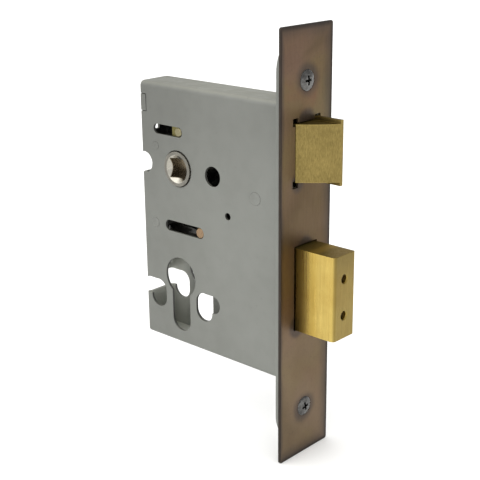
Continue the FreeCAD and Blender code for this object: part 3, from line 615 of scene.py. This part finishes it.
def add_springs(material):
    """The latch's and the hub's springs, as coils in place of the CAD springs."""
    for node, turns, wire, joint, keep in (
        ("latch_spring", 8, 0.45 * MM, "latch_slide", 0.41),
        ("hub_spring", 9, 0.35 * MM, "hub_turn", 0.46),
    ):
        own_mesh(coil_spring(node, turns, wire, material))


def add_detainer_spring(material):
    """The wire round the rear post, as a copy of the CAD spring in spring steel."""
    node = "detainer_spring"
    wire = bpy.data.objects.new(node + "_wire", frame["nodes"][node].data.copy())
    wire.data.materials.clear()
    wire.data.materials.append(material)
    bpy.context.scene.collection.objects.link(wire)
    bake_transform(wire)
    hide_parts(node)


# ---- stage ----

def add_floor():
    low, _ = CAD_BOX
    half = FLOOR_SIZE / 2
    mesh = bpy.data.meshes.new("floor")
    corners = [(-half, -half, 0), (half, -half, 0), (half, half, 0), (-half, half, 0)]
    mesh.from_pydata(corners, [], [(0, 1, 2, 3)])
    floor = bpy.data.objects.new("floor", mesh)
    floor.location.z = low[2]
    bpy.context.scene.collection.objects.link(floor)
    s = Shader("pale_floor", roughness=0.8)
    s.surface.inputs["Base Color"].default_value = (0.9, 0.9, 0.89, 1)
    mesh.materials.append(s.material)


def add_sun(name, origin, spread, strength, tint=(1, 1, 1)):
    """Wide soft light from the direction of origin; spread is its width in degrees."""
    light = bpy.data.lights.new(name, "SUN")
    light.angle = math.radians(spread)
    light.energy = strength
    light.color = tint
    lamp = bpy.data.objects.new(name, light)
    lamp.rotation_euler = (-Vector(origin)).to_track_quat("-Z", "Y").to_euler()
    bpy.context.scene.collection.objects.link(lamp)


def add_camera():
    azimuth = math.radians(CAMERA_AZIMUTH)
    elevation = math.radians(CAMERA_ELEVATION)
    back = Vector((
        math.sin(azimuth) * math.cos(elevation),
        -math.cos(azimuth) * math.cos(elevation),
        math.sin(elevation),
    ))
    data = bpy.data.cameras.new("camera")
    data.lens = CAMERA_LENS
    data.clip_start = 0.01
    camera = bpy.data.objects.new("camera", data)
    roll = Matrix.Rotation(math.radians(CAMERA_ROLL), 4, "Z")
    camera.matrix_world = (
        Matrix.Translation(CAMERA_TARGET + CAMERA_DISTANCE * back)
        @ back.to_track_quat("Z", "Y").to_matrix().to_4x4()
        @ roll
    )
    bpy.context.scene.collection.objects.link(camera)
    bpy.context.scene.camera = camera


def add_world():
    """Light from all round, brighter from the near side; the camera itself sees plain white."""
    world = bpy.data.worlds.new("studio")
    world.use_nodes = True
    tree = world.node_tree
    direction = tree.nodes.new("ShaderNodeTexCoord")
    facing = tree.nodes.new("ShaderNodeVectorMath")
    facing.operation = "DOT_PRODUCT"
    facing.inputs[1].default_value = Vector(LIGHT_SIDE).normalized()
    tree.links.new(direction.outputs["Generated"], facing.inputs[0])
    level = tree.nodes.new("ShaderNodeMapRange")
    level.interpolation_type = "SMOOTHSTEP"
    level.inputs["From Min"].default_value = -0.8
    level.inputs["From Max"].default_value = 0.8
    level.inputs["To Min"].default_value = WORLD_DIM
    level.inputs["To Max"].default_value = WORLD_BRIGHT
    tree.links.new(facing.outputs["Value"], level.inputs["Value"])
    seen = tree.nodes.new("ShaderNodeMix")
    seen.inputs["B"].default_value = 1.0
    tree.links.new(tree.nodes.new("ShaderNodeLightPath").outputs["Is Camera Ray"], seen.inputs["Factor"])
    tree.links.new(level.outputs["Result"], seen.inputs["A"])
    tree.links.new(seen.outputs["Result"], tree.nodes["Background"].inputs["Strength"])
    tree.nodes["Background"].inputs["Color"].default_value = (1, 1, 1, 1)
    bpy.context.scene.world = world
    bpy.context.scene.view_settings.view_transform = "Standard"


add_camera()
add_world()
add_floor()
add_sun("key", LIGHT_SIDE, KEY_SPREAD, KEY_STRENGTH, KEY_TINT)
add_sun("top", TOP_SIDE, TOP_SPREAD, TOP_STRENGTH)

MATERIALS = make_materials()
for node_name in frame["nodes"]:
    dress(node_name, MATERIALS)
for node_name, edge in EDGE_WIDTHS.items():
    soften(frame["nodes"][node_name], edge, node_name in LARGE_FLATS)
add_springs(MATERIALS["spring_steel"])
add_detainer_spring(MATERIALS["spring_steel"])
